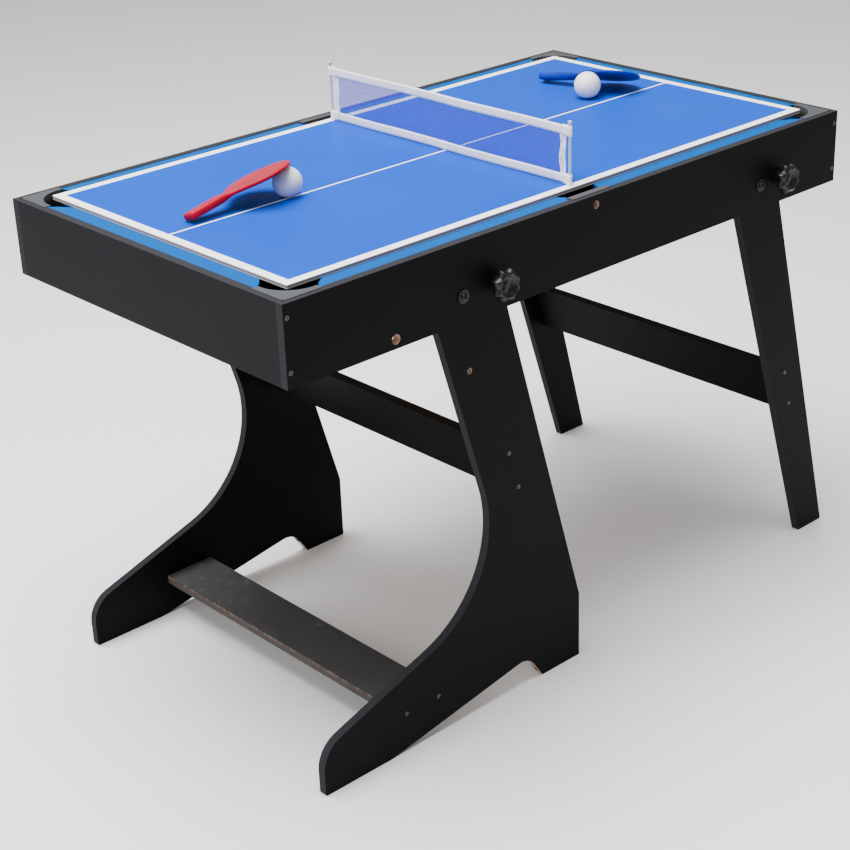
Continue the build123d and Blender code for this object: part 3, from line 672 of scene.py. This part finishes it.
plate_grey = Finish("pocket_plastic", (0.08, 0.085, 0.09), 0.7, Specular_IOR_Level=0.2)
spark = plate_grey.noise(900.0, 3.0)
clouds = plate_grey.noise(30.0, 3.0)
_, _, pocket_z = plate_grey.split(plate_grey.place)
moulded = plate_grey.mix((0.040, 0.042, 0.046), (0.068, 0.072, 0.078), spark * 0.6 + clouds * 0.4)
# Painted shade: below the top, the mouth is mixed to near black for the shade under the board.
below = pocket_z.step(rim_z - 3.0 * MM, rim_z - 12.0 * MM)
plate_grey.feed(Base_Color=plate_grey.mix(moulded, (0.012, 0.012, 0.013), below))
plate_grey.feed(Roughness=0.6 + spark * 0.25)
plate_grey.raise_by(spark, 0.00018, 0.7)

hardware = {
    "apron_screws": screw_grey,
    "stand_screws": screw_grey,
    "leg_screws": screw_grey,
    "pivot_bolts": black_steel,
    "pivot_washers": black_steel,
    "pivot_nuts": zinc,
    "stand_t_nuts": zinc,
    "leg_t_nuts": zinc,
    "pivot_spacers": nylon,
}
for name in nodes:
    if "_pocket_" in name:
        hardware[name] = plate_grey
    elif name.startswith("knob_washer"):
        hardware[name] = nylon
    elif name.startswith("knob_stud"):
        hardware[name] = zinc
for name, finish in hardware.items():
    coat_node(name, finish)
print("hardware is finished:", len(hardware), "nodes")

# %% [markdown]
# ## The net
#
# Two slim posts stand in the board. A tape runs along the top of the net and another along the
# bottom, and each end is folded back round its post and sewn down, which makes a sleeve and, a
# little way in, a step. Between the tapes are real flat yarns, so fine that from a distance they
# read as a veil. The whole net waves a little, so tapes and threads share one wave.

# %% Net posts
tape_low, tape_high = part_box("net_top_tape")
foot_low, foot_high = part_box("net_bottom_tape")
net_x = (tape_low.x + tape_high.x) / 2


def net_wave(y, z):
    """Sideways drift of the net: two slow sines of y, none at the posts, most between the tapes.

    The sines are scaled by 1 - (y / Y)^4 and by 0.35 + 2.6 h (1 - h), where h is the share of the
    net's height.
    """
    slack = np.clip(1.0 - (np.abs(y) / post_y) ** 4, 0.0, 1.0)
    height = np.clip((z - foot_low.z) / (tape_high.z - foot_low.z), 0.0, 1.0)
    waves = np.sin(y * 31.0) + 0.5 * np.sin(y * 73.0 + 1.0)
    return slack * 0.5 * MM * waves * (0.35 + 2.6 * height * (1.0 - height))


clear_plastic = Finish("net_post_plastic", (0.62, 0.72, 0.88), 0.18, Transmission_Weight=0.35, IOR=1.3)
flow = clear_plastic.noise(120.0, 2.0)
clear_plastic.feed(Base_Color=clear_plastic.mix((0.52, 0.62, 0.80), (0.74, 0.82, 0.94), flow))
clear_plastic.feed(Roughness=0.12 + flow * 0.15)

for word in ("near", "far"):
    low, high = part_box(f"net_post_{word}")
    foot = board_high.z
    post = high.z - foot
    root = low.z - foot + 0.1 * MM
    # The spigot in the board, a small collar on it, the slim rod, and a cap.
    outline = np.array([
        (0.0, root), (0.0018, root), (0.00199, 0.0),
        (0.0032, 0.0001), (0.0032, 0.001), (0.0027, 0.0013), (0.002, 0.0016),
        (0.00195, post * 0.5), (0.0019, post - 0.0042),
        (0.0022, post - 0.0032), (0.0028, post - 0.0028), (0.0029, post - 0.0024),
        (0.0029, post - 0.0006), (0.0026, post - 0.0002), (0.0, post),
    ])
    angles = np.linspace(0.0, 2.0 * math.pi, 28, endpoint=False)
    centre = (net_x, (low.y + high.y) / 2, foot)
    grid = turned(outline, angles, centre, (0, 0, 1), (1, 0, 0))
    rod = piece(f"net_rod_{word}", [grid], clear_plastic, "net", closed=True)
    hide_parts(f"net_post_{word}")

# %% Net tapes
end_tape_y = post_y - 12.6 * MM
tape_white = Finish("net_tape", (0.84, 0.84, 0.86), 0.85, Sheen_Weight=0.2)
weave = tape_white.noise(900.0, 2.0, (1.0, 1.0, 3.0))
soil = tape_white.noise(40.0, 3.0)
_, tape_y, tape_z = tape_white.split(tape_white.place)
white = tape_white.mix((0.78, 0.78, 0.82), (0.92, 0.92, 0.94), weave * 0.6 + soil * 0.4)
stitch_line = abs(abs(tape_y) - (post_y - 13.5 * MM)).step(0.9 * MM, 0.5 * MM)
stitches = stitch_line * tape_z.math("PINGPONG", 0.8 * MM).step(0.3 * MM, 0.4 * MM)
upright = abs(abs(tape_y) - end_tape_y).step(5.0 * MM, 4.0 * MM)
over_foot = tape_z.step(foot_high.z + 2 * MM, foot_high.z + 4 * MM)
under_top = tape_z.step(tape_low.z - 2 * MM, tape_low.z - 4 * MM)
smudge = tape_white.noise(170.0, 3.0).step(0.54, 0.66) * upright * (over_foot * under_top)
white = tape_white.mix(white, (0.50, 0.52, 0.60), smudge)
tape_white.feed(Base_Color=tape_white.mix(white, (0.45, 0.46, 0.52), stitches))
tape_white.raise_by(weave, 0.0001, 0.5)

sleeve, doubled = 2.75 * MM, 13.0 * MM
single_half, doubled_half = 0.35 * MM, 0.75 * MM


def tape_grid(low_z, high_z):
    """A loop in plan round both posts, carried up by the width of the tape.

    Each side is w(d) from the middle, where d is the way in from the post: sqrt(s^2 - d^2) round the
    post, then falling to the doubled tape, then a step down to the single tape.
    """
    bend = np.linspace(-math.pi / 2, 0.0, 9)
    straight = np.linspace(0.6 * MM, doubled, 10)
    d = np.concatenate([sleeve * np.sin(bend), straight, [doubled + 0.2 * MM]])
    fall = 1.0 - smooth_step(d, 0.0, 9.0 * MM)
    round_post = np.sqrt(np.clip(sleeve**2 - d**2, 0.0, None))
    w = np.where(d <= 0.0, round_post, doubled_half + (sleeve - doubled_half) * fall)
    w[-1] = single_half
    inner_y = post_y - doubled - 2 * MM
    y_end, middle = post_y - d, np.linspace(inner_y, -inner_y, 120)
    y_side = np.concatenate([y_end, middle, -y_end[::-1]])
    w_side = np.concatenate([w, np.full(len(middle), single_half), w[::-1]])
    y = np.concatenate([y_side, y_side[-2:0:-1]])
    x = np.concatenate([w_side, -w_side[-2:0:-1]])
    z = np.linspace(low_z, high_z, 5)
    wider = 1.1 * MM * (np.abs(y) > post_y - doubled - 0.1 * MM)
    z = z[:, None] + np.linspace(-1.0, 1.0, 5)[:, None] * wider
    sag = 0.35 * MM * np.sin(y * 24.0 + low_z * 90.0) * (np.abs(y) < post_y - 16 * MM)
    grid = np.stack([np.broadcast_to(c, z.shape) for c in (x, y, z + sag)], axis=-1).copy()
    grid[..., 0] += net_x + net_wave(y[None], grid[..., 2])
    return grid


end_half_width, end_lap = 5.2 * MM, 1.5 * MM


def end_tape_grid(side):
    """An upright strip whose edges wander: y = middle + half width * u + a wave of the height.

    u runs from -1 to 1 across the tape, and the wave dies out at both ends.
    """
    z = np.linspace(foot_high.z - end_lap, tape_low.z + end_lap, 40)
    u = np.linspace(-1.0, 1.0, 7)
    rise = (z - z[0]) / (z[-1] - z[0])
    drift = 1.0 * MM * np.sin(rise * 7.0 + side) * np.sin(rise * math.pi)
    y = side * end_tape_y + drift[:, None] + end_half_width * u
    x = net_x + net_wave(y, z[:, None]) + 0.5 * MM * np.sin(rise[:, None] * 9.0 + u * 1.2)
    return np.stack([x, y, np.broadcast_to(z[:, None], y.shape)], axis=-1)


def tape(name, grids, node, closed=False):
    """Make a tape from its grids, give it thickness, and let it stand for a CAD node."""
    made = piece(name, grids, tape_white, "net", closed=closed, outward=False)
    wall = made.modifiers.new("thickness", "SOLIDIFY")
    wall.thickness, wall.offset = 0.4 * MM, 0.0
    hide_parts(node)
    return made


for word, low_z, high_z in (("top", tape_low.z, tape_high.z), ("bottom", foot_low.z, foot_high.z)):
    made = tape(f"net_tape_{word}", [tape_grid(low_z, high_z)], f"net_{word}_tape", closed=True)
end_tapes = tape("net_tape_ends", [end_tape_grid(-1.0), end_tape_grid(1.0)], "net_end_tapes")

# %% Net threads
yarn, pitch = 0.84 * MM, 1.9 * MM
mesh_low, mesh_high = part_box("net_mesh")


def yarns():
    """Flat yarns on a lattice: upright ones at y = k * pitch and level ones at z = k * pitch."""
    y_lines = np.arange(mesh_low.y + pitch / 2, mesh_high.y, pitch)
    z_lines = np.arange(mesh_low.z + pitch / 2, mesh_high.z, pitch)
    across = np.array([-0.5, 0.5]) * yarn
    z = np.linspace(mesh_low.z - 0.5 * MM, mesh_high.z + 0.5 * MM, 6)
    upright = np.zeros((len(y_lines), len(z), 2, 3))
    upright[..., 1] = y_lines[:, None, None] + across
    upright[..., 2] = z[:, None]
    y = np.linspace(mesh_low.y, mesh_high.y, 64)
    level = np.zeros((len(z_lines), len(y), 2, 3))
    level[..., 1] = y[:, None]
    level[..., 2] = z_lines[:, None, None] + across
    for lattice, side in ((upright, -1.0), (level, 1.0)):
        lattice[..., 0] = net_x + net_wave(lattice[..., 1], lattice[..., 2]) + side * 0.08 * MM
    return list(upright) + list(level)


net_blue = Finish("net_thread", (0.06, 0.07, 0.55), 0.7, Specular_IOR_Level=0.1)
drift = net_blue.noise(80.0, 2.0)
net_blue.feed(Base_Color=net_blue.mix((0.04, 0.06, 0.56), (0.07, 0.08, 0.68), drift))
net = piece("net_threads", yarns(), net_blue, "net", crease=100, outward=False)
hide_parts("net_mesh")

# %% [markdown]
# ## Bats and balls
#
# The bats are moulded in one piece. Their outline is a handle, a neck that widens on a cubic, and
# an oval blade. The surface runs from the middle line of one face out to the edge and back along
# the other face, and the last few millimetres before the edge follow a quarter circle, as a mould
# would leave them. The bats lean on their balls exactly where the CAD bats do.


# %% Bat surface
def hermite(t, first, last, slope_first, slope_last):
    """Cubic between two values, first and last, that has a given slope at each.

    The weights are 2t^3 - 3t^2 + 1 for the first, 3t^2 - 2t^3 for the last, and t^3 - 2t^2 + t and
    t^3 - t^2 for the two slopes.
    """
    return (
        (2 * t**3 - 3 * t**2 + 1) * first
        + (t**3 - 2 * t**2 + t) * slope_first
        + (3 * t**2 - 2 * t**3) * last
        + (t**3 - t**2) * slope_last
    )


# All in mm from the butt: the handle's end, the neck's end, and the middle of the blade's oval.
neck_start, neck_end, blade_middle = 60.0, 98.0, 120.0
handle_half, blade_half, blade_reach = 11.0, 44.0, 47.0


def bat_half_width(s):
    """Half width at s mm from the butt: straight for the handle, a cubic neck, the blade's oval."""
    share = np.clip((s - neck_start) / (neck_end - neck_start), 0, 1)
    neck = hermite(share, handle_half, 38.9, 6.0, 18.8)
    oval = blade_half * np.sqrt(np.clip(1.0 - ((s - blade_middle) / blade_reach) ** 2, 0.0, None))
    return np.where(s < neck_start, handle_half, np.where(s < neck_end, neck, oval))


def bat_grid():
    """Outline points joined to the middle line: p = middle + t (edge - middle), z from the distance.

    Half the thickness is h(s), and within r of the edge it falls as a quarter circle:
    z = h - r + sqrt(r^2 - (r - d)^2), where d is the distance to the edge.
    """
    tip = blade_middle + blade_reach * np.sin(np.linspace(-0.45, math.pi / 2, 60))
    butt = np.array([(0.0, 0.0), (0.0, 4.0), (0.0, 8.0), (0.3, 9.6), (1.0, 10.5), (2.2, handle_half)])
    handle, neck = np.linspace(5.0, neck_start, 16), np.linspace(neck_start + 2.0, neck_end, 18)
    s = np.unique(np.round(np.concatenate([handle, neck, tip[1:]]), 6))
    edge = np.concatenate([butt, np.stack([s, bat_half_width(s)], axis=-1)])
    edge = np.concatenate([edge, (edge * (1, -1))[-2:0:-1]])
    middle = np.stack([np.clip(edge[:, 0], 8.0, blade_middle), 0 * edge[:, 1]], axis=-1)
    span = np.linalg.norm(edge - middle, axis=1)
    in_handle = 1.0 - smooth_step(edge[:, 0], 52.0, 70.0)
    half, bend = 2.5 + 3.0 * in_handle, 2.1 + 2.3 * in_handle
    near_edge = bend * np.array([0.0, 0.04, 0.12, 0.25, 0.42, 0.62, 0.82, 1.0])[:, None]
    towards_middle = bend + (span - bend) * np.linspace(0.0, 1.0, 7)[1:, None]
    away = np.concatenate([near_edge, towards_middle])
    drop = np.clip(bend - away, 0.0, None)
    z = half - bend + np.sqrt(np.clip(bend**2 - drop**2, 0.0, None))
    share = 1.0 - away / span
    flat = middle[None] + share[..., None] * (edge - middle)[None]
    upper = np.concatenate([flat, z[..., None]], axis=-1)
    return np.concatenate([upper[::-1], upper * (1, 1, -1)]) * MM


def bat_finish(name, low_color, high_color):
    """Glossy moulded plastic: a slow drift of colour, fine scuffs and a slight unevenness."""
    soft = {"Subsurface_Weight": 0.3, "Subsurface_Scale": 0.01}
    finish = Finish(name, high_color, 0.3, Specular_IOR_Level=0.14, **soft)
    flow = finish.noise(30.0, 3.0)
    scuffs = finish.noise(220.0, 4.0, (1.0, 3.0, 1.0))
    finish.feed(Base_Color=finish.mix(low_color, high_color, flow.step(0.3, 0.7)))
    finish.feed(Roughness=0.22 + scuffs * 0.2)
    finish.raise_by(scuffs, 0.00005, 0.5)
    return finish


bat_shape = bat_grid()


def place_bat(name, finish, origin, heading, pitch, roll):
    """Turn a bat that lies along X with its face up: heading about Z, then pitch, then roll.

    The origin is the middle of the butt, and the angles are in degrees.
    """
    heading, pitch, roll = (math.radians(a) for a in (heading, pitch, roll))
    level = Vector((-math.sin(heading), math.cos(heading), 0.0))
    ahead = Vector((math.cos(heading), math.sin(heading), 0.0))
    along = ahead * math.cos(pitch) + Vector((0.0, 0.0, math.sin(pitch)))
    upright = along.cross(level)
    normal = upright * math.cos(roll) - level * math.sin(roll)
    axes = np.array([along, normal.cross(along), normal])
    placed = np.array(origin) + bat_shape @ axes
    made = piece(f"{name}_shell", [placed], finish, name, closed=True, crease=40)
    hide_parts(name)


red = bat_finish("bat_red", (0.30, 0.0, 0.010), (0.36, 0.0, 0.018))
blue = bat_finish("bat_blue", (0.0, 0.016, 0.24), (0.0, 0.034, 0.34))
red_origin = (top_left + 92.1 * MM, 302 * MM - side_y, board_high.z + 7.98 * MM)
blue_origin = (top_left + 871.8 * MM, 437.5 * MM - side_y, board_high.z + 8.41 * MM)
print("butts at", np.round(red_origin, 5), np.round(blue_origin, 5))
place_bat("bat_red", red, red_origin, 2.4, 11.338, -19.0)
place_bat("bat_blue", blue, blue_origin, -74.9, 6.85, -22.0)

# %% Balls
ball_white = Finish("ball_white", (0.86, 0.86, 0.85), 0.42, Subsurface_Weight=0.15)
dust = ball_white.noise(200.0, 3.0)
ball_white.feed(Base_Color=ball_white.mix((0.80, 0.80, 0.80), (0.90, 0.90, 0.89), dust))
ball_white.feed(Roughness=0.36 + dust * 0.14)
for name, tilt in (("ball_by_red_bat", 0.5), ("ball_by_blue_bat", -0.9)):
    low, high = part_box(name)
    centre, radius = (low + high) / 2, (high.z - low.z) / 2
    latitude = np.linspace(-math.pi / 2, math.pi / 2, 65)
    seam = radius * (1.0 - 0.002 * np.exp(-((latitude / 0.03) ** 2)))
    profile = np.stack([seam * np.cos(latitude), seam * np.sin(latitude)], axis=-1)
    profile[[0, -1], 0] = 0.0
    axis = (math.sin(tilt), 0.0, math.cos(tilt))
    ray = (math.cos(tilt), 0.0, -math.sin(tilt))
    grid = turned(profile, np.linspace(0.0, 2.0 * math.pi, 96, endpoint=False), centre, axis, ray)
    ball = piece(f"{name}_shell", [grid], ball_white, name, closed=True)
    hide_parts(name)

# %% [markdown]
# ## Floor and light
#
# The table stands on a plain pale floor under soft light. A broad lamp hangs over the top and
# makes the highlights on the knobs and bats. A weaker one on the left shows the shape of the end,
# and the white surroundings fill the shadows.

# %% Stage
floor_mesh = bpy.data.meshes.new("floor")
floor_mesh.from_pydata([(-12, -12, 0), (12, -12, 0), (12, 12, 0), (-12, 12, 0)], [], [(0, 1, 2, 3)])
floor = bpy.data.objects.new("floor", floor_mesh)
bpy.context.scene.collection.objects.link(floor)
pale = Finish("floor", (0.9, 0.9, 0.9), 0.8)
pale.feed(Base_Color=pale.mix((0.88, 0.88, 0.88), (0.92, 0.92, 0.92), pale.noise(2.0)))
floor_mesh.materials.append(pale.material)


def lamp(name, spot, aim, size, power):
    """A square lamp at a spot, turned towards another."""
    data = bpy.data.lights.new(name, "AREA")
    data.size, data.energy = size, power
    made = bpy.data.objects.new(name, data)
    made.location = spot
    made.rotation_euler = (Vector(aim) - Vector(spot)).to_track_quat("-Z", "Y").to_euler()
    bpy.context.scene.collection.objects.link(made)
    print(name, "lamp", power, "W,", size, "m wide")


lamp("overhead", (-0.6, 0.3, 3.6), (0, 0, 0.6), 2.6, 330)
lamp("left", (-3.2, 0.2, 1.9), (0, 0, 0.6), 1.4, 40)
world = bpy.data.worlds.new("studio")
world.use_nodes = True
background = world.node_tree.nodes["Background"]
background.inputs["Color"].default_value = (1.0, 1.0, 1.0, 1.0)
background.inputs["Strength"].default_value = 0.55
bpy.context.scene.world = world
